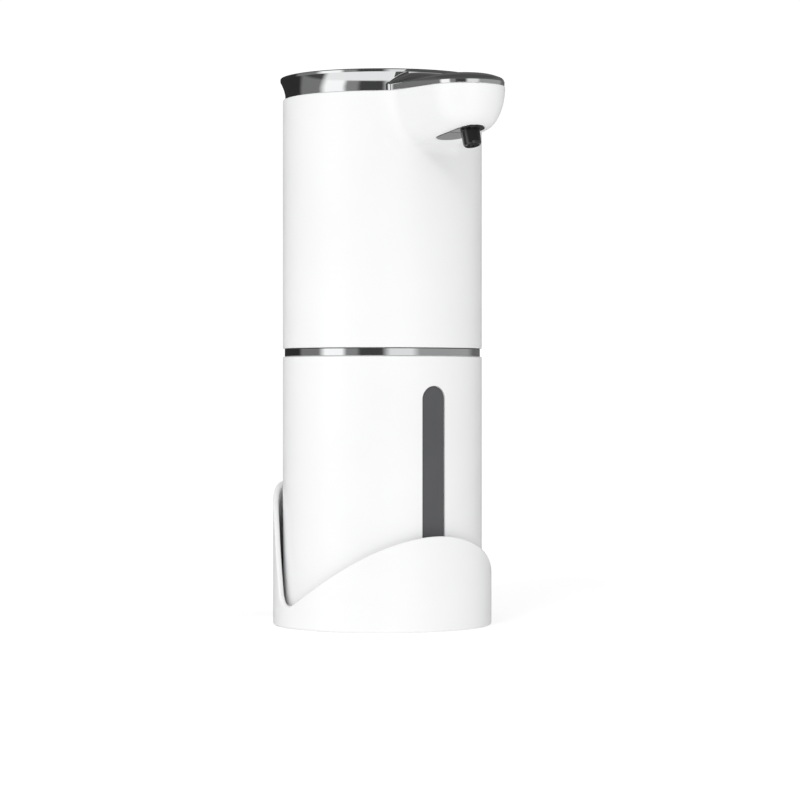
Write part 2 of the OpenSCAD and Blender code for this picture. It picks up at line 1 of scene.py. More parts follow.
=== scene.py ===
"""Looks of the automatic soap dispenser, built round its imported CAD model.

The white shells and the chrome trim are smooth rounded solids. Each is described by a signed distance in
millimetres and meshed on its own grid. Turned pieces are profiles spun about an axis. Inner parts keep
their CAD shape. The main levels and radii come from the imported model.
"""

import json
import math

import bmesh
import bpy
import numpy as np
from mathutils import Matrix, Vector


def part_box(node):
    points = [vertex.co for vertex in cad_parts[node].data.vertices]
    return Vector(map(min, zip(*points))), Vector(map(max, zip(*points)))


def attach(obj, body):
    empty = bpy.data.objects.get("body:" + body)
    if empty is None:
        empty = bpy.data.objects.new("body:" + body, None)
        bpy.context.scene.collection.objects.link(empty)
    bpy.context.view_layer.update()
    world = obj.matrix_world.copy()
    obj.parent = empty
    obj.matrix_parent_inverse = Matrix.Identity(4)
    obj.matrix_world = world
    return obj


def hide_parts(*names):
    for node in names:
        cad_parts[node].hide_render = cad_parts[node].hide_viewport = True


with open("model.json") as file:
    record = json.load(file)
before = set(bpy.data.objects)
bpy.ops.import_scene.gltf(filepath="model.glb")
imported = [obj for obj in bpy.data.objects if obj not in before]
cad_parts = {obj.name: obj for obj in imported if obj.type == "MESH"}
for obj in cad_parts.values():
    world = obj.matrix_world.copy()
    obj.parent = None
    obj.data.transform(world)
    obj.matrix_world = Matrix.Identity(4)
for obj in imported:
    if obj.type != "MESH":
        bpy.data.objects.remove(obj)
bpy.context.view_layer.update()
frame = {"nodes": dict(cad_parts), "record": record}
MM = 0.001


def box_mm(node):
    """Lowest and highest corner of a CAD node, in millimetres."""
    low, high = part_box(node)
    return np.array(low) / MM, np.array(high) / MM


# ---- levels and radii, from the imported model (mm) ---------------------------

HOLDER_HIGH = box_mm("wall_holder")[1]
SLEEVE_LOW, SLEEVE_HIGH = box_mm("bottle_sleeve")
SHELL_LOW, SHELL_HIGH = box_mm("head_shell")
RING_LOW, RING_HIGH = box_mm("trim_ring")
TRIM_HIGH = box_mm("top_trim")[1]
PANEL_LOW, PANEL_HIGH = box_mm("top_panel")
BUTTON_LOW, BUTTON_HIGH = box_mm("power_button")
WINDOW_LOW, WINDOW_HIGH = box_mm("level_window")
FLAP_LOW = box_mm("port_cover")[0]

BODY_R = SHELL_HIGH[0]
SHELL_T = 2.0
HEAD_Z = SHELL_LOW[2]
TRIM_Z = SHELL_HIGH[2]
TOP_Z = TRIM_HIGH[2]

# Holder, with the flat pad behind it and its countersunk screw holes
HOLDER_R = HOLDER_HIGH[0]
HOLDER_T = 2.0
CUP_R = HOLDER_R - HOLDER_T
CUP_FLOOR = 3.0
BACK_Z = HOLDER_HIGH[2]
PAD_Y = HOLDER_HIGH[1]
PAD_HALF_W = 19
PAD_FOOT_Z = 5
PAD_TOP_Z = 48
SCREW_HEIGHTS = (17, 43)
SCREW_R = 2.1
SINK_DEPTH = 2.4

# Spout
SPOUT_REACH = -SHELL_LOW[1]
SPOUT_R = 14.0
SPOUT_C = SPOUT_REACH - SPOUT_R
SPOUT_ROOT = (26.0, 16.5)
SPOUT_MID = 52.0
SPOUT_FLAT_Z = TRIM_Z - 15.8
SPOUT_TILT = math.radians(7.5)
SPOUT_INSET = 7.5
ROOT_FILLET = 4.5

# Plate in the spout's underside, in its own plane: Y runs back to the body
PLATE_R = 5.2
PLATE_FRONT = -7.0
PLATE_BACK = 5.2
PLATE_PROUD = 0.2
SEAM_Y = -2.0

# Nozzle
NOZZLE_REACH = 59.1
NOZZLE_R = 3.3
NOZZLE_LEN = 6.0
NOZZLE_TILT = math.radians(16)
NOZZLE_Z = SPOUT_FLAT_Z + (NOZZLE_REACH - SPOUT_MID) * math.tan(SPOUT_TILT)

# Rim, ring, button, status light, window and charging port
RIM_FOOT_R = 35.15
RIM_FOOT_H = 1.4
RIM_LIP_H = 1.1
EDGE_LEAN = 0.07
SPIGOT_R = 33.8
BORE_R = 31.5
WELL_R = 33.4
BUTTON_R = 7.0
LIGHT_Y = -14
WINDOW_INSET = 0.8
WINDOW_BACK_R = 33.6
PORT_Z = 117


# ---- distance fields (mm, negative inside) ----------------------------------


def both(a, b, r=0.0):
    """What is inside a and b, its edges rounded by r."""
    return np.minimum(-r, np.maximum(a, b)) + np.hypot(np.maximum(a + r, 0), np.maximum(b + r, 0))


def either(a, b, r=0.0):
    """What is inside a or b, with a fillet of r between them."""
    return -both(-a, -b, r)


def without(a, b, r=0.0):
    """a with b cut away, the edges rounded by r."""
    return both(a, -b, r)


def axes_of(p):
    return p[..., 0], p[..., 1], p[..., 2]


def spout_plan(p):
    """Distance from the spout's outline, seen from above."""
    root_p, root_w = SPOUT_ROOT
    run = SPOUT_C - root_p
    taper = math.acos(SPOUT_R / math.hypot(root_w, run)) - math.atan2(run, root_w)
    ahead, side = -p[..., 1] - SPOUT_C, np.abs(p[..., 0])
    straight = side * math.cos(taper) + ahead * math.sin(taper) - SPOUT_R
    tip = np.hypot(ahead, side) - SPOUT_R
    return np.where(ahead * math.cos(taper) > side * math.sin(taper), tip, straight)


def spout_bowl(p):
    """The spout below the trim: its sides draw in on an ellipse to a flat, sloping underside."""
    depth = TRIM_Z - SPOUT_FLAT_Z - (-p[..., 1] - SPOUT_MID) * math.tan(SPOUT_TILT)
    squeeze = SPOUT_INSET / np.maximum(depth, 5)
    across = np.maximum(spout_plan(p) + SPOUT_INSET, 0)
    down = np.maximum(TRIM_Z - p[..., 2], 0) * squeeze
    length = np.hypot(across, down)
    slope = np.hypot(across, down * squeeze) / np.maximum(length, 1e-6)
    return both((length - SPOUT_INSET) / np.maximum(slope, 0.35), p[..., 1] + 10)


def head_form(p):
    """The head and its spout, before they are hollowed."""
    x, y, _ = axes_of(p)
    return either(np.hypot(x, y) - BODY_R, spout_bowl(p), ROOT_FILLET)


def underside_frame(p):
    """Coordinates on the spout's underside: across, back towards the body, and up into the spout."""
    x, y, z = axes_of(p)
    back, up = y + SPOUT_MID, z - SPOUT_FLAT_Z
    c, s = math.cos(SPOUT_TILT), math.sin(SPOUT_TILT)
    return x, back * c - up * s, back * s + up * c


def plate_plan(p, gap=0.0):
    """Distance from the outline of the glossy plate in the underside, round at both ends."""
    across, back, _ = underside_frame(p)
    return np.hypot(across, back - np.clip(back, PLATE_FRONT, PLATE_BACK)) - PLATE_R + gap


def brick(p, centre, half, r):
    """A box with rounded edges."""
    q = np.abs(p - np.array(centre)) - (np.array(half) - r)
    return np.linalg.norm(np.maximum(q, 0), axis=-1) + np.minimum(q.max(-1), 0) - r


# ---- meshing ----------------------------------------------------------------

SHARP_ANGLE = math.radians(32)


def spans(*marks):
    """Grid positions: start, step, next mark, step, ... end."""
    stretches = zip(marks[:-2:2], marks[1:-1:2], marks[2::2])
    parts = [np.arange(start, end - step / 4, step) for start, step, end in stretches]
    return np.concatenate(parts + [[marks[-1]]])


def round_grid(radius, angle, height):
    """Points of a grid about the Z axis; angle 0 is the front, and it grows towards +X."""
    a = np.radians(angle)
    return radius * np.sin(a), -radius * np.cos(a), height


def slope_of(field, points, h=0.02):
    """How fast the field changes along each axis."""
    moves = np.eye(3) * h
    return np.stack([(field(points + m) - field(points - m)) / (2 * h) for m in moves], -1)


def net(field, us, vs, ws, place=None):
    """Closed quads where the field changes sign on a grid, each corner then moved onto the surface."""
    grid = np.meshgrid(us, vs, ws, indexing="ij")
    grid = np.stack(place(*grid) if place else grid, -1)
    value = field(grid)
    cell = np.arange(value.size).reshape(value.shape)
    total, count, quads = np.zeros((value.size, 3)), np.zeros(value.size), []
    for axis in range(3):
        b, c = (axis + 1) % 3, (axis + 2) % 3
        after = np.roll(value, -1, axis)
        cross = (value < 0) != (after < 0)
        share = (value[cross] / (value[cross] - after[cross]))[:, None]
        point = grid[cross] * (1 - share) + np.roll(grid, -1, axis)[cross] * share
        beside = np.roll(cell, 1, b)
        around = [cell, beside, np.roll(beside, 1, c), np.roll(cell, 1, c)]
        corner = np.stack([a[cross] for a in around], -1)
        for k in range(4):
            count += np.bincount(corner[:, k], minlength=value.size)
            for d in range(3):
                total[:, d] += np.bincount(corner[:, k], point[:, d], value.size)
        inward = value[cross] > 0
        corner[inward] = corner[inward][:, ::-1]
        quads.append(corner)
    used = count > 0
    points = total[used] / count[used][:, None]
    number = np.cumsum(used) - 1
    passes, longest_step = 4, 0.3
    for _ in range(passes):
        slope = slope_of(field, points)
        step = -field(points)[:, None] * slope / np.maximum((slope**2).sum(-1), 0.05)[:, None]
        length = np.linalg.norm(step, axis=-1, keepdims=True)
        points = points + step * np.minimum(1, longest_step / np.maximum(length, 1e-9))
    return points, number[np.concatenate(quads)], slope_of(field, points)


def solid(name, field, us, vs, ws, place=None):
    """A mesh object of a field's surface, shaded by the field's own slope."""
    points, quads, slope = net(field, us, vs, ws, place)
    mesh = bpy.data.meshes.new(name)
    mesh.from_pydata((points * MM).tolist(), [], quads.tolist())
    mesh.polygons.foreach_set("use_smooth", np.ones(len(quads), bool))
    slope = slope / np.maximum(np.linalg.norm(slope, axis=-1, keepdims=True), 1e-9)
    mesh.normals_split_custom_set_from_vertices(slope.tolist())
    return shown(name, mesh)


def shown(name, mesh):
    """Puts a mesh into the scene."""
    piece = bpy.data.objects.new(name, mesh)
    bpy.context.scene.collection.objects.link(piece)
    return piece


def rounded(corners, steps=5):
    """A closed profile of (radius, height, corner radius) with each corner rounded."""
    out = []
    for i, (r, z, fillet) in enumerate(corners):
        here = Vector((r, z))
        to_last = Vector(corners[i - 1][:2]) - here
        to_next = Vector(corners[(i + 1) % len(corners)][:2]) - here
        if fillet <= 0:
            out.append(here)
            continue
        half = to_last.angle(to_next) / 2
        reach = min(fillet / math.tan(half), to_last.length / 2, to_next.length / 2)
        start, end = here + to_last.normalized() * reach, here + to_next.normalized() * reach
        for k in range(steps + 1):
            t = k / steps
            out.append(start * (1 - t) ** 2 + here * 2 * t * (1 - t) + end * t**2)
    return out


def turned(name, corners, turns=128, steps=5, at=None):
    """A profile spun about Z, or about the Z axis of the matrix at. Points on the axis close it."""
    profile = rounded(corners, steps)
    work = bmesh.new()
    rings = []
    for r, z in profile:
        if r < 1e-6:
            rings.append([work.verts.new((0, 0, z * MM))])
        else:
            angles = [2 * math.pi * k / turns for k in range(turns)]
            spots = [(r * math.cos(a) * MM, r * math.sin(a) * MM, z * MM) for a in angles]
            rings.append([work.verts.new(spot) for spot in spots])
    for ring, after in zip(rings, rings[1:] + rings[:1]):
        if len(ring) == 1 and len(after) == 1:
            continue
        for k in range(turns):
            n = (k + 1) % turns
            here = [ring[k % len(ring)], ring[n % len(ring)]]
            there = [after[n % len(after)], after[k % len(after)]]
            work.faces.new(list(dict.fromkeys(here + there)))
    bmesh.ops.recalc_face_normals(work, faces=work.faces)
    if at is not None:
        work.transform(at)
    mesh = bpy.data.meshes.new(name)
    work.to_mesh(mesh)
    work.free()
    mesh.polygons.foreach_set("use_smooth", np.ones(len(mesh.polygons), bool))
    mesh.set_sharp_from_angle(angle=SHARP_ANGLE)
    return shown(name, mesh)


def fitted(piece, body, material, slot, *nodes):
    """Gives a piece its material and its body, and hides the CAD nodes it stands for. The slot argument is
    not used.
    """
    piece.data.materials.clear()
    piece.data.materials.append(material)
    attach(piece, body)
    if nodes:
        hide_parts(*nodes)
    return piece


# ---- material nodes ---------------------------------------------------------


def paint(name, **values):
    """A Principled material; values are its sockets by name, underscores for spaces."""
    made = bpy.data.materials.new(name)
    made.use_nodes = True
    shader = made.node_tree.nodes["Principled BSDF"]
    for key, value in values.items():
        shader.inputs[key.replace("_", " ")].default_value = value
    return made


def add_node(made, kind, **sockets):
    made_node = made.node_tree.nodes.new(kind)
    for key, value in sockets.items():
        made_node.inputs[key.replace("_", " ")].default_value = value
    return made_node


def link(made, out, into):
    made.node_tree.links.new(out, into)


def place_of(made, stretch=(1, 1, 1)):
    """The piece's own coordinates in metres, stretched."""
    where = made.node_tree.nodes.new("ShaderNodeTexCoord")
    mapping = add_node(made, "ShaderNodeMapping", Scale=stretch)
    link(made, where.outputs["Object"], mapping.inputs["Vector"])
    return mapping.outputs["Vector"]


def noise(made, scale, detail=2.0, stretch=(1, 1, 1)):
    made_node = add_node(made, "ShaderNodeTexNoise", Scale=scale, Detail=detail)
    link(made, place_of(made, stretch), made_node.inputs["Vector"])
    return made_node.outputs["Fac"]


def between(made, factor, low, high, start=0.3, end=0.7):
    """A number that runs from low to high as the factor goes from start to end."""
    made_node = add_node(made, "ShaderNodeMapRange")
    for key, value in {"From Min": start, "From Max": end, "To Min": low, "To Max": high}.items():
        made_node.inputs[key].default_value = value
    link(made, factor, made_node.inputs["Value"])
    return made_node.outputs["Result"]


def blend_colours(made, factor, low, high, start=0.3, end=0.7):
    """A colour that runs from low to high as the factor goes from start to end."""
    ramp = made.node_tree.nodes.new("ShaderNodeValToRGB")
    for stop, place, colour in zip(ramp.color_ramp.elements, (start, end), (low, high)):
        stop.position = place
        stop.color = (*colour, 1)
    link(made, factor, ramp.inputs["Fac"])
    return ramp.outputs["Color"]


def bump(made, height, strength, distance):
    made_node = add_node(made, "ShaderNodeBump", Strength=strength, Distance=distance)
    link(made, height, made_node.inputs["Height"])
    link(made, made_node.outputs["Normal"], socket(made, "Normal"))


def socket(made, name):
    return made.node_tree.nodes["Principled BSDF"].inputs[name]


def moulded(name, low, high, rough=(0.3, 0.4), grain=900, bump_strength=0.05, **values):
    """Moulded plastic: a faint drift in colour, uneven gloss and a fine surface texture."""
    made = paint(name, **values)
    link(made, blend_colours(made, noise(made, 18, 3), low, high), socket(made, "Base Color"))
    link(made, between(made, noise(made, 140, 3), *rough), socket(made, "Roughness"))
    bump(made, noise(made, grain, 2), bump_strength, 0.0002)
    return made


def plated(name, low, high, rough=(0.05, 0.12), stretch=(1, 1, 14)):
    """Plated or bare metal with fine handling marks."""
    made = paint(name, Metallic=1.0)
    link(made, blend_colours(made, noise(made, 30, 2), low, high), socket(made, "Base Color"))
    link(made, between(made, noise(made, 120, 4, stretch), *rough), socket(made, "Roughness"))
    bump(made, noise(made, 500, 2, stretch), 0.012, 0.0001)
    return made


WHITE = moulded("white_abs", (0.86, 0.862, 0.865), (0.89, 0.892, 0.893), (0.3, 0.38), IOR=1.5)
CHROME = plated("chrome_plate", (0.78, 0.79, 0.8), (0.84, 0.845, 0.85), (0.04, 0.09))
STEEL = plated("steel", (0.55, 0.55, 0.54), (0.64, 0.63, 0.62), (0.22, 0.4))
BLACK = moulded("black_plastic", (0.008, 0.008, 0.009), (0.014, 0.014, 0.015), (0.06, 0.12), 300, 0.02,
                IOR=1.7)
SMOKED = moulded("smoked_window", (0.085, 0.086, 0.09), (0.1, 0.1, 0.104), (0.18, 0.26), IOR=1.49)
LENS = moulded("sensor_lens", (0.02, 0.02, 0.022), (0.035, 0.035, 0.038), (0.08, 0.13), 300, 0.01,
               IOR=1.38)
TANK = moulded("smoked_tank", (0.11, 0.115, 0.12), (0.15, 0.155, 0.16), (0.16, 0.28),
               Transmission_Weight=0.35)
RUBBER = moulded("foot_rubber", (0.03, 0.03, 0.031), (0.05, 0.05, 0.052), (0.7, 0.85), 1500, 0.3)
SILICONE = moulded("silicone", (0.62, 0.63, 0.62), (0.7, 0.71, 0.7), (0.4, 0.55), Subsurface_Weight=0.15)
FOAM = moulded("foam_tape", (0.03, 0.032, 0.034), (0.055, 0.057, 0.06), (0.85, 0.95), 2600, 0.8)
INNER = moulded("inner_plastic", (0.62, 0.62, 0.6), (0.68, 0.68, 0.66), (0.4, 0.55))
PUMP = moulded("pump_plastic", (0.3, 0.36, 0.44), (0.36, 0.42, 0.5), (0.3, 0.45))
GEAR = moulded("gear_plastic", (0.72, 0.7, 0.62), (0.78, 0.76, 0.68), (0.35, 0.5))
BOARD = moulded("circuit_board", (0.01, 0.09, 0.035), (0.015, 0.13, 0.05), (0.3, 0.45), 4000, 0.2)
CELL = moulded("cell_sleeve", (0.02, 0.1, 0.4), (0.03, 0.13, 0.46), (0.3, 0.42))
GLOSS = moulded("top_gloss", (0.02, 0.02, 0.022), (0.03, 0.03, 0.032), (0.06, 0.12), Coat_Weight=1.0)
BUTTON = plated("button_metal", (0.5, 0.5, 0.51), (0.62, 0.62, 0.63), (0.2, 0.32), (1, 40, 1))
LIGHT = moulded("light_lens", (0.5, 0.62, 0.7), (0.6, 0.72, 0.8), (0.2, 0.3), Emission_Strength=0.3)

SLOT_PAINT = {
    "white_shell": WHITE, "bright_trim": CHROME, "black_nozzle": BLACK, "smoked_window": SMOKED,
    "smoked_tank": TANK, "sensor_lens": LENS, "silicone": SILICONE, "foot_rubber": RUBBER,
    "foam_tape": FOAM, "inner_plastic": INNER, "pump_plastic": PUMP, "gear_plastic": GEAR,
    "steel": STEEL, "circuit_board": BOARD, "black_plastic": BLACK, "cell_sleeve": CELL,
    "top_gloss": GLOSS, "button_metal": BUTTON, "light_lens": LIGHT,
}


# ---- white shells -----------------------------------------------------------

EDGE = 0.35


def head_field(p):
    """The hollow head, with the plate's opening below the spout and the charging port's boss behind."""
    form = head_form(p)
    shell = both(form, -form - SHELL_T)
    z = p[..., 2]
    boss = brick(p, (0, 32.5, PORT_Z), (9, 2, 5.5), 0.5)
    inside_body = np.hypot(p[..., 0], p[..., 1]) - BODY_R + 0.8
    shell = either(shell, both(boss, inside_body), 0.8)
    shell = both(shell, HEAD_Z - z, EDGE)
    shell = both(shell, z - TRIM_Z, EDGE)
    up = underside_frame(p)[2]
    shell = without(shell, both(plate_plan(p, 0.35), np.abs(up) - 4))
    pocket = brick(p, (0, FLAP_LOW[1] + 5.7, PORT_Z + 0.2), (6.9, 5, 4.2), 0.6)
    hole = brick(p, (0, 33, PORT_Z), (5, 5, 2.5), 0.8)
    return without(without(shell, pocket, 0.25), hole, 0.2)


def make_head():
    radii = spans(30.6, 0.6, 33.4, 0.3, 36.6, 0.6, 70.8)
    angles = spans(-180, 1.0, -165, 2.0, -42, 0.6, 42, 2.0, 165, 1.0, 179.4)
    heights = spans(HEAD_Z - 0.4, 0.2, HEAD_Z + 0.8, 1.6, 110.4, 0.4, 123.6, 1.8, 168, 0.45,
                    TRIM_Z - 1, 0.2, TRIM_Z + 0.6)
    piece = solid("head_skin", head_field, radii, angles, heights, round_grid)
    fitted(piece, "head", WHITE, "white_shell", "head_shell")


def window_plan(p, gap):
    """Distance from the level window's outline, seen from the front; the slot has a gap of 0."""
    clearance = 0.05
    r = (WINDOW_HIGH[0] - WINDOW_LOW[0]) / 2 + clearance - gap
    x, _, z = axes_of(p)
    low, high = WINDOW_LOW[2] - clearance + gap + r, WINDOW_HIGH[2] + clearance - gap - r
    return np.hypot(x, z - np.clip(z, low, high)) - r


def sleeve_field(p):
    x, y, z = axes_of(p)
    r = np.hypot(x, y)
    shell = both(r - BODY_R, BODY_R - SHELL_T - r)
    shell = both(shell, SLEEVE_LOW[2] - z, 0.8)
    shell = both(shell, z - SLEEVE_HIGH[2], EDGE)
    slot = both(window_plan(p, 0), y)
    return without(shell, slot, 0.3)


def make_sleeve():
    radii = spans(33.4, 0.3, 36.6)
    angles = spans(-180, 2.0, -12, 0.35, 12, 2.0, 178)
    heights = spans(2.9, 0.25, 5.4, 1.2, 12.6, 0.3, 20.1, 2.2, 79.5, 0.3, 87.3, 1.2, 95.7, 0.2, 97.3)
    piece = solid("bottle_skin", sleeve_field, radii, angles, heights, round_grid)
    fitted(piece, "bottle", WHITE, "white_shell", "bottle_sleeve")


def window_field(p):
    x, y, _ = axes_of(p)
    r = np.hypot(x, y)
    strip = both(r - BODY_R + WINDOW_INSET, WINDOW_BACK_R - r)
    return both(strip, both(window_plan(p, 0.05), y), 0.25)


def make_window():
    radii = spans(33.2, 0.25, 35.6)
    angles = spans(-9, 0.3, 9)
    heights = spans(13, 0.3, 20.2, 2.2, 79.6, 0.3, 87.1)
    piece = solid("window_strip", window_field, radii, angles, heights, round_grid)
    fitted(piece, "bottle", SMOKED, "smoked_window", "level_window")


# ---- wall holder ------------------------------------------------------------


def rim_curve():
    """The holder's rim from the side, front to back: (Y, Z) points with rising Y."""
    valley_z, hump_z, valley_r, corner_r = 8.0, 34.0, 6.0, 24.0
    valley_y, corner_y, lean = 0.4, 35.4, 15.0
    front = [(-HOLDER_R - 2, hump_z)]
    for a in np.linspace(0, 88, 45):
        rise = ((1 + math.cos(math.radians(a * 180 / 88))) / 2) ** 0.6
        front.append((-HOLDER_R * math.cos(math.radians(a)), valley_z + (hump_z - valley_z) * rise))
    low = [(valley_y + valley_r * math.cos(a), valley_z + valley_r + valley_r * math.sin(a))
           for a in np.radians(np.linspace(-90, -lean, 9))]
    top = [(corner_y + corner_r * math.cos(a), BACK_Z - corner_r + corner_r * math.sin(a))
           for a in np.radians(np.linspace(180 - lean, 90, 11))]
    return np.array(front + low + top + [(PAD_Y + 8, BACK_Z)])


RIM = rim_curve()


def above_rim(p):
    """Distance to the rim's curve, positive above it."""
    y, z = p[..., 1], p[..., 2]
    nearest = np.full(y.shape, 1e9)
    for (ay, az), (by, bz) in zip(RIM[:-1], RIM[1:]):
        run, rise = by - ay, bz - az
        t = np.clip(((y - ay) * run + (z - az) * rise) / (run * run + rise * rise), 0, 1)
        nearest = np.minimum(nearest, np.hypot(y - ay - t * run, z - az - t * rise))
    return nearest * np.where(z > np.interp(y, RIM[:, 0], RIM[:, 1]), 1, -1)


def holder_field(p):
    """The cup and its flat back, cut by the rim's curve and by two countersunk screw holes."""
    x, y, z = axes_of(p)
    r = np.hypot(x, y)
    outer = both(r - HOLDER_R, -z, 0.8)
    sides = both(np.abs(x) - PAD_HALF_W, y - PAD_Y, 1.2)
    pad = both(sides, both(PAD_FOOT_Z - z, z - PAD_TOP_Z, 1.5), 1.2)
    outer = either(outer, both(pad, -y), 1.5)
    cup = both(r - CUP_R, CUP_FLOOR - z, 1.5)
    wall = without(outer, cup)
    wall = both(wall, above_rim(p), 0.85)
    from_face = PAD_Y - y
    for screw_z in SCREW_HEIGHTS:
        hole = np.hypot(x, z - screw_z) - SCREW_R
        sink = (hole - np.maximum(0, SINK_DEPTH - (y - CUP_R + 0.3))) * 0.75
        cut = both(np.minimum(hole, sink), both(-from_face - 3, from_face - 8))
        wall = without(wall, cut, 0.15)
    return wall


def make_holder():
    radii = np.concatenate([[-0.6, 0.001], spans(4, 4, 36, 0.35, 46.5)])[1:]
    angles = spans(-180, 0.7, -148, 1.0, 148, 0.7, 179.3)
    heights = spans(-0.4, 0.35, 4.5, 0.5, 52.5)
    piece = solid("holder_cup", holder_field, radii, angles, heights, round_grid)
    fitted(piece, "holder", WHITE, "white_shell", "wall_holder")


# ---- chrome -----------------------------------------------------------------


def rim_radius(z):
    """Radius of the flared rim: a foot that leans out a little, a hollow flare, then an upright lip."""
    flare_h = TOP_Z - TRIM_Z - RIM_FOOT_H - RIM_LIP_H
    t = np.clip((z - TRIM_Z - RIM_FOOT_H) / flare_h, 0, 1)
    lean = EDGE_LEAN * (np.clip(z - TRIM_Z, 0, RIM_FOOT_H) - RIM_FOOT_H)
    return RIM_FOOT_R + lean + (TRIM_HIGH[0] - RIM_FOOT_R) * t**1.6


def cover_field(p, plan):
    """The spout's cover: an upright edge that leans out a little, and a crown that rises to the middle."""
    edge_h, crown_h, crown_w = 2.4, 1.94, 8.0
    y, z = p[..., 1], p[..., 2]
    leaning = plan - EDGE_LEAN * np.clip(z - TRIM_Z, 0, edge_h)
    crown = edge_h + crown_h * (1 - (1 - np.clip(-plan / crown_w, 0, 1)) ** 2)
    shoulder = 0.3 + 0.9 * np.clip((-y - 45) / 12, 0, 1)
    cover = both(both(leaning, TRIM_Z - z, 0.12), (z - TRIM_Z - crown) * 0.92, shoulder)
    return both(cover, y + 10)


def trim_field(p):
    """The flared rim and the spout's cover in one piece, with a plug below and a well for the panel."""
    x, y, z = axes_of(p)
    r = np.hypot(x, y)
    flare = (r - rim_radius(z)) * 0.94
    rim = both(both(flare, z - TOP_Z, 0.3), TRIM_Z - z, 0.12)
    plan = spout_plan(p) + 0.3
    fillet = 0.9 + 3.0 * np.clip(-plan / 5, 0, 1)
    trim = both(either(rim, cover_field(p, plan), fillet), z - TOP_Z)
    plug = both(r - SPIGOT_R, both(TRIM_Z - 2.7 - z, z - TRIM_Z - 1))
    well = both(r - WELL_R, PANEL_LOW[2] - z)
    return without(without(np.minimum(trim, plug), well, 0.15), r - BORE_R)


def make_trim():
    radii = spans(30.9, 0.35, 34.5, 0.2, 37.2, 0.5, 70.4)
    angles = spans(-180, 1.5, -42, 0.45, 42, 1.5, 178.5)
    heights = spans(TRIM_Z - 3.2, 0.5, TRIM_Z - 0.3, 0.16, TOP_Z + 0.35)
    piece = solid("rim_and_cover", trim_field, radii, angles, heights, round_grid)
    fitted(piece, "head", CHROME, "bright_trim", "top_trim")


def make_ring():
    foot, low, high, face = RING_LOW[2], SLEEVE_HIGH[2], HEAD_Z, RING_HIGH[0]
    piece = turned("ring_band", [
        (BORE_R, foot, 0.3), (SPIGOT_R, foot, 0.4), (SPIGOT_R, low, 0), (face - 0.1, low + 0.02, 0.2),
        (face, low + 0.3, 0.3), (face, high - 0.3, 0.3), (face - 0.1, high - 0.02, 0.2),
        (BORE_R, high, 0.2)], 256)
    fitted(piece, "bottle", CHROME, "bright_trim", "trim_ring")


# ---- top --------------------------------------------------------------------


def make_panel():
    """Glossy disc with a dished middle round the button, and the status light's hole."""
    top, low = PANEL_HIGH[2], PANEL_LOW[2]
    dish_depth, dish_r, gap = 0.35, 13, 0.15

    def field(p):
        x, y, z = axes_of(p)
        r = np.hypot(x, y)
        dish = top - dish_depth * np.exp(-((r / dish_r) ** 4))
        disc = both(both(r - WELL_R + gap, low - z, 0.1), z - dish, 0.25)
        disc = without(disc, r - BUTTON_R - 0.35, 0.2)
        return without(disc, np.hypot(x, y - LIGHT_Y) - 1.2, 0.12)

    radii = spans(6.8, 0.25, 9, 0.8, 12, 0.3, 16.2, 1.6, 32.2, 0.2, 33.8)
    angles = spans(-180, 2.5, -7.5, 0.6, 7.5, 2.5, 177.5)
    piece = solid("top_disc", field, radii, angles, spans(low - 0.4, 0.2, top + 0.4), round_grid)
    fitted(piece, "head", GLOSS, "top_gloss", "top_panel")


def make_button():
    foot, top, r, lip = BUTTON_LOW[2], BUTTON_HIGH[2], BUTTON_R, BUTTON_HIGH[0]
    inner_r, lip_z = 5.8, foot + 0.6
    piece = turned("button_cap", [
        (inner_r, foot, 0.1), (lip, foot, 0.15), (lip, lip_z, 0.15), (r, lip_z, 0.1), (r, top - 0.35, 0.1),
        (r - 0.35, top, 0.25), (5.6, top, 0.3), (5.2, top - 0.12, 0.3), (2.6, top - 0.24, 1.5),
        (0, top - 0.28, 0), (0, foot + 0.7, 0), (inner_r, lip_z, 0)], 96)
    fitted(piece, "button", BUTTON, "button_metal", "power_button")


def make_light():
    foot, top, r = box_mm("status_lens")[0][2], PANEL_HIGH[2], 1.1
    at = Matrix.Translation((0, LIGHT_Y * MM, 0))
    piece = turned("status_dome", [
        (0, foot, 0), (r, foot, 0.1), (r, top - 0.5, 0.3), (0.7, top - 0.24, 0.5), (0, top - 0.18, 0)],
        48, at=at)
    fitted(piece, "head", LIGHT, "light_lens", "status_lens")


# ---- nozzle, sensor and port ------------------------------------------------


def tilted(y, z, angle):
    """Matrix of a frame in the plane of symmetry, its Z axis leaning back by the angle."""
    return Matrix.Translation((0, y * MM, z * MM)) @ Matrix.Rotation(-angle, 4, "X")


def plate_half(p, side):
    """The plate ahead of the seam (side -1) or behind it (side 1), its edges softly rounded."""
    _, back, up = underside_frame(p)
    top = 2.0 if side > 0 else 1.2
    plan = both(plate_plan(p), side * (SEAM_Y - back) + 0.02, 0.02)
    middle, half = (top - PLATE_PROUD) / 2, (top + PLATE_PROUD) / 2
    return both(plan, np.abs(up - middle) - half, 0.18)


def make_plate(name, side, material, slot, *nodes):
    xs = spans(-5.8, 0.28, 5.8)
    ys = spans(-55, 0.28, -38.5) if side > 0 else spans(-64.5, 0.28, -52)
    zs = spans(SPOUT_FLAT_Z - 2.8, 0.16, SPOUT_FLAT_Z + 3.2)
    piece = solid(name, lambda p: plate_half(p, side), xs, ys, zs)
    fitted(piece, "head", material, slot, *nodes)


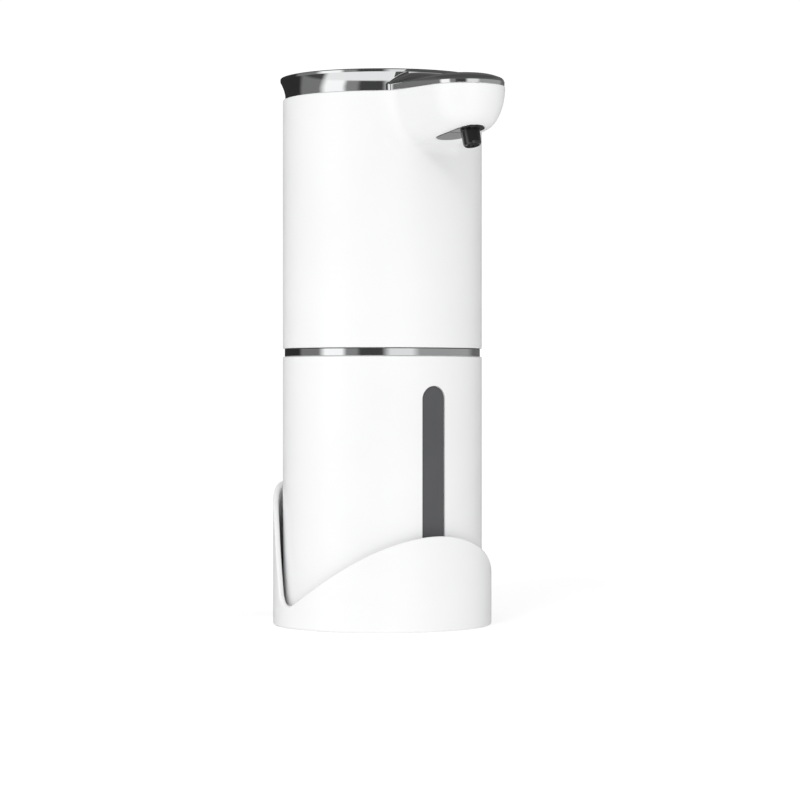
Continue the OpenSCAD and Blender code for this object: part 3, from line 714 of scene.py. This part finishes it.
def make_nozzle():
    tip, r, mouth, root, spigot, bore = -NOZZLE_LEN, NOZZLE_R, 2.4, 2.4, 1.05, 0.7
    at = tilted(-NOZZLE_REACH, NOZZLE_Z, NOZZLE_TILT)
    tube = turned("nozzle_tube", [
        (mouth, tip, 0.2), (r - 0.5, tip, 0.3), (r - 0.15, tip + 0.7, 0.4), (r + 0.2, root, 0.2),
        (spigot, root, 0.1), (spigot, 5, 0.1), (bore, 5, 0.05), (bore, tip + 2.6, 0.1),
        (mouth, tip + 2.6, 0.1)], 96, at=at)
    fitted(tube, "head", BLACK, "black_nozzle", "nozzle_body")
    make_plate("nozzle_plate", -1, BLACK, "black_nozzle")
    make_plate("sensor_pane", 1, LENS, "sensor_lens", "sensor_window")


def make_flap():
    """The charging port's cover: a pad with a hinge bead at its top, a finger groove and a plug."""
    pad_z, half_w, half_h = PORT_Z - 0.35, 6.5, 3.65
    bead_y, bead_z, bead_r = 35.2, PORT_Z + 3.3, 0.5
    grip_z, grip_r = PORT_Z - 2.8, 0.75

    def field(p):
        x, y, z = axes_of(p)
        r = np.hypot(x, y)
        pad = both(np.abs(x) - half_w, np.abs(z - pad_z) - half_h, 1.2)
        pad = both(both(pad, r - BODY_R + 0.12, 0.3), 34.7 - y, 0.1)
        bead = both(np.hypot(y - bead_y, z - bead_z) - bead_r, np.abs(x) - 4.5, 0.2)
        grip = both(np.hypot(z - grip_z, r - BODY_R - 0.55) - grip_r, np.abs(x) - 3)
        plug = brick(p, (0, 34.2, PORT_Z), (4, 0.55, 1.5), 0.4)
        return without(either(either(pad, bead, 0.3), plug, 0.1), grip, 0.1)

    xs, ys, zs = spans(-7, 0.25, 7), spans(33, 0.2, 36.4), spans(112.4, 0.2, 121.6)
    piece = solid("port_flap", field, xs, ys, zs)
    fitted(piece, "port_flap", WHITE, "white_shell", "port_cover")


def make_tape():
    """Foam tape behind the holder, soft at its edges and open round the screws."""
    low, high = box_mm("wall_pad")

    def field(p):
        x, _, z = axes_of(p)
        middle, half = (low + high) / 2, (high - low) / 2
        sheet = brick(p, middle, half + np.array((0, 2, 0)), 1.9)
        sheet = both(sheet, np.abs(p[..., 1] - middle[1]) - half[1], 0.3)
        for screw_z in SCREW_HEIGHTS:
            sheet = without(sheet, np.hypot(x, z - screw_z) - SCREW_R - 2, 0.2)
        return sheet

    xs, zs = spans(low[0] - 0.5, 0.45, high[0] + 0.5), spans(low[2] - 0.5, 0.45, high[2] + 0.5)
    piece = solid("back_tape", field, xs, spans(low[1] - 0.4, 0.2, high[1] + 0.4), zs)
    fitted(piece, "holder", FOAM, "foam_tape", "wall_pad")


# ---- CAD nodes that stay ----------------------------------------------------


def finish_cad_nodes():
    """Inner parts keep their CAD shape, with small bevels and the finish of their slot."""
    for part in frame["record"]["subparts"]:
        piece = frame["nodes"][part["node"]]
        piece.data.materials.clear()
        piece.data.materials.append(SLOT_PAINT[part["material_slot"]])
        if piece.hide_render:
            continue
        bevel = piece.modifiers.new("edges", "BEVEL")
        bevel.width = 0.12 * MM
        bevel.segments = 2
        bevel.limit_method = "ANGLE"
        bevel.angle_limit = math.radians(35)


# ---- studio -----------------------------------------------------------------


# Panels of light round the object: (from, to, level), in degrees from the camera, growing to its right.
# Between two panels the level runs evenly from one to the other.
FLOOR_PANELS = [(-170, -80, 0.06), (-72, 60, 0.93), (90, 100, 0.4), (150, 170, 0.15)]
WALL_PANELS = [(-170, -115, 0.03), (-108, -80, 0.2), (-70, -48, 1.1), (-42, -30, 0.25), (-25, 0, 0.06),
               (10, 35, 0.85), (45, 120, 0.36), (135, 170, 0.15)]
UPPER_PANELS = [(-170, 170, 0.12)]
CEILING_PANELS = [(-170, 170, 0.08)]
SOFT_PANELS = [(-150, -118, 0.76), (-105, 92, 0.93), (100, 148, 0.22), (158, 165, 0.93)]
BACKDROP = 1.05
CAMERA_TURN = math.radians(-31)
KEY_AIM = Vector((0.77, 0.64, -0.7))


def make_floor():
    bpy.ops.mesh.primitive_plane_add(size=6)
    floor = bpy.context.object
    floor.name = "floor"
    made = paint("floor_white", Base_Color=(0.5, 0.5, 0.5, 1), Roughness=1.0, Specular_IOR_Level=0.0,
                 Emission_Color=(1, 1, 1, 1), Emission_Strength=0.6)
    link(made, blend_colours(made, noise(made, 4, 2), (0.49, 0.49, 0.49), (0.51, 0.51, 0.51)),
         socket(made, "Base Color"))
    floor.data.materials.append(made)
    floor.visible_glossy = False


def world_node(tree, kind, **sockets):
    made = tree.nodes.new(kind)
    for key, value in sockets.items():
        made.inputs[key.replace("_", " ")].default_value = value
    return made


def compass(tree, split):
    """The direction's bearing, as a share of a full turn."""
    turn = world_node(tree, "ShaderNodeMath")
    turn.operation = "ARCTAN2"
    tree.links.new(split.outputs["X"], turn.inputs[0])
    tree.links.new(split.outputs["Y"], turn.inputs[1])
    share = world_node(tree, "ShaderNodeMapRange", From_Min=-math.pi, From_Max=math.pi)
    tree.links.new(turn.outputs[0], share.inputs["Value"])
    return share.outputs[0]


def round_room(panels):
    """The panels' edges as shares of a full turn, measured as the world's node does."""
    stops = []
    for start, end, level in panels:
        for angle in (start, end):
            toward = math.radians(angle) + CAMERA_TURN
            bearing = math.atan2(math.sin(toward), -math.cos(toward))
            stops.append(((bearing / (2 * math.pi) + 0.5) % 1, level))
    stops.sort()
    (first, a), (last, b) = stops[0], stops[-1]
    seam = a + (b - a) * first / (first + 1 - last)
    return [(0.0, seam), *stops, (1.0, seam)]


def ring_of_light(tree, bearing, panels):
    """The panels' grey levels along the bearing."""
    made = world_node(tree, "ShaderNodeValToRGB")
    elements = made.color_ramp.elements
    levels = round_room(panels)
    while len(elements) < len(levels):
        elements.new(0.5)
    for element, (place, level) in zip(elements, sorted(levels)):
        element.position = place
        element.color = (level, level, level, 1)
    tree.links.new(bearing, made.inputs["Fac"])
    return made.outputs["Color"]


def mixed(tree, factor, a, b):
    made = world_node(tree, "ShaderNodeMix")
    made.data_type = "RGBA"
    for out, into in ((factor, made.inputs[0]), (a, made.inputs[6]), (b, made.inputs[7])):
        tree.links.new(out, into)
    return made.outputs[2]


def above(tree, split, start, end):
    """Share of a ring that takes over as the height of the direction goes from start to end."""
    made = world_node(tree, "ShaderNodeMapRange", From_Min=start, From_Max=end)
    tree.links.new(split.outputs["Z"], made.inputs["Value"])
    return made.outputs[0]


def make_world():
    """Soft white light, darker on one side; gloss shows the panels, and the camera a plain backdrop."""
    world = bpy.data.worlds.new("studio")
    bpy.context.scene.world = world
    world.use_nodes = True
    tree = world.node_tree
    where = world_node(tree, "ShaderNodeTexCoord")
    split = world_node(tree, "ShaderNodeSeparateXYZ")
    tree.links.new(where.outputs["Generated"], split.inputs[0])
    bearing = compass(tree, split)

    seen = ring_of_light(tree, bearing, FLOOR_PANELS)
    for panels, start, end in ((WALL_PANELS, -0.5, -0.44), (UPPER_PANELS, 0.2, 0.35),
                               (CEILING_PANELS, 0.5, 0.7)):
        seen = mixed(tree, above(tree, split, start, end), seen, ring_of_light(tree, bearing, panels))
    rays = world_node(tree, "ShaderNodeLightPath")
    soft = ring_of_light(tree, bearing, SOFT_PANELS)
    seen = mixed(tree, rays.outputs["Is Glossy Ray"], soft, seen)
    backdrop = world_node(tree, "ShaderNodeRGB")
    backdrop.outputs[0].default_value = (BACKDROP, BACKDROP, BACKDROP, 1)
    seen = mixed(tree, rays.outputs["Is Camera Ray"], seen, backdrop.outputs[0])
    tree.links.new(seen, tree.nodes["Background"].inputs["Color"])


def make_camera():
    """The photograph's view: level with the body's middle, a little left of the spout."""
    distance, aside, height = 1.0, 0.0064, 0.0854
    data = bpy.data.cameras.new("camera")
    camera = bpy.data.objects.new("camera", data)
    bpy.context.scene.collection.objects.link(camera)
    c, s = math.cos(CAMERA_TURN), math.sin(CAMERA_TURN)
    camera.location = (distance * s + aside * c, -distance * c + aside * s, height)
    camera.rotation_euler = (math.pi / 2, 0, CAMERA_TURN)
    data.lens = 124.24
    data.sensor_width = 36
    data.shift_y = -0.015
    bpy.context.scene.camera = camera


def make_key():
    """A soft key from the camera's left and above; it lights matt surfaces only."""
    key = bpy.data.lights.new("key", "SUN")
    key.angle = 0.24
    key.energy = 0.6
    lamp = bpy.data.objects.new("key", key)
    bpy.context.scene.collection.objects.link(lamp)
    lamp.rotation_euler = KEY_AIM.to_track_quat("-Z", "Y").to_euler()
    lamp.visible_glossy = False


make_camera()
make_world()
make_key()
make_floor()
make_holder()
make_sleeve()
make_window()
make_ring()
make_head()
make_trim()
make_panel()
make_button()
make_light()
make_nozzle()
make_flap()
make_tape()
finish_cad_nodes()
bpy.context.scene.view_settings.view_transform = "Standard"
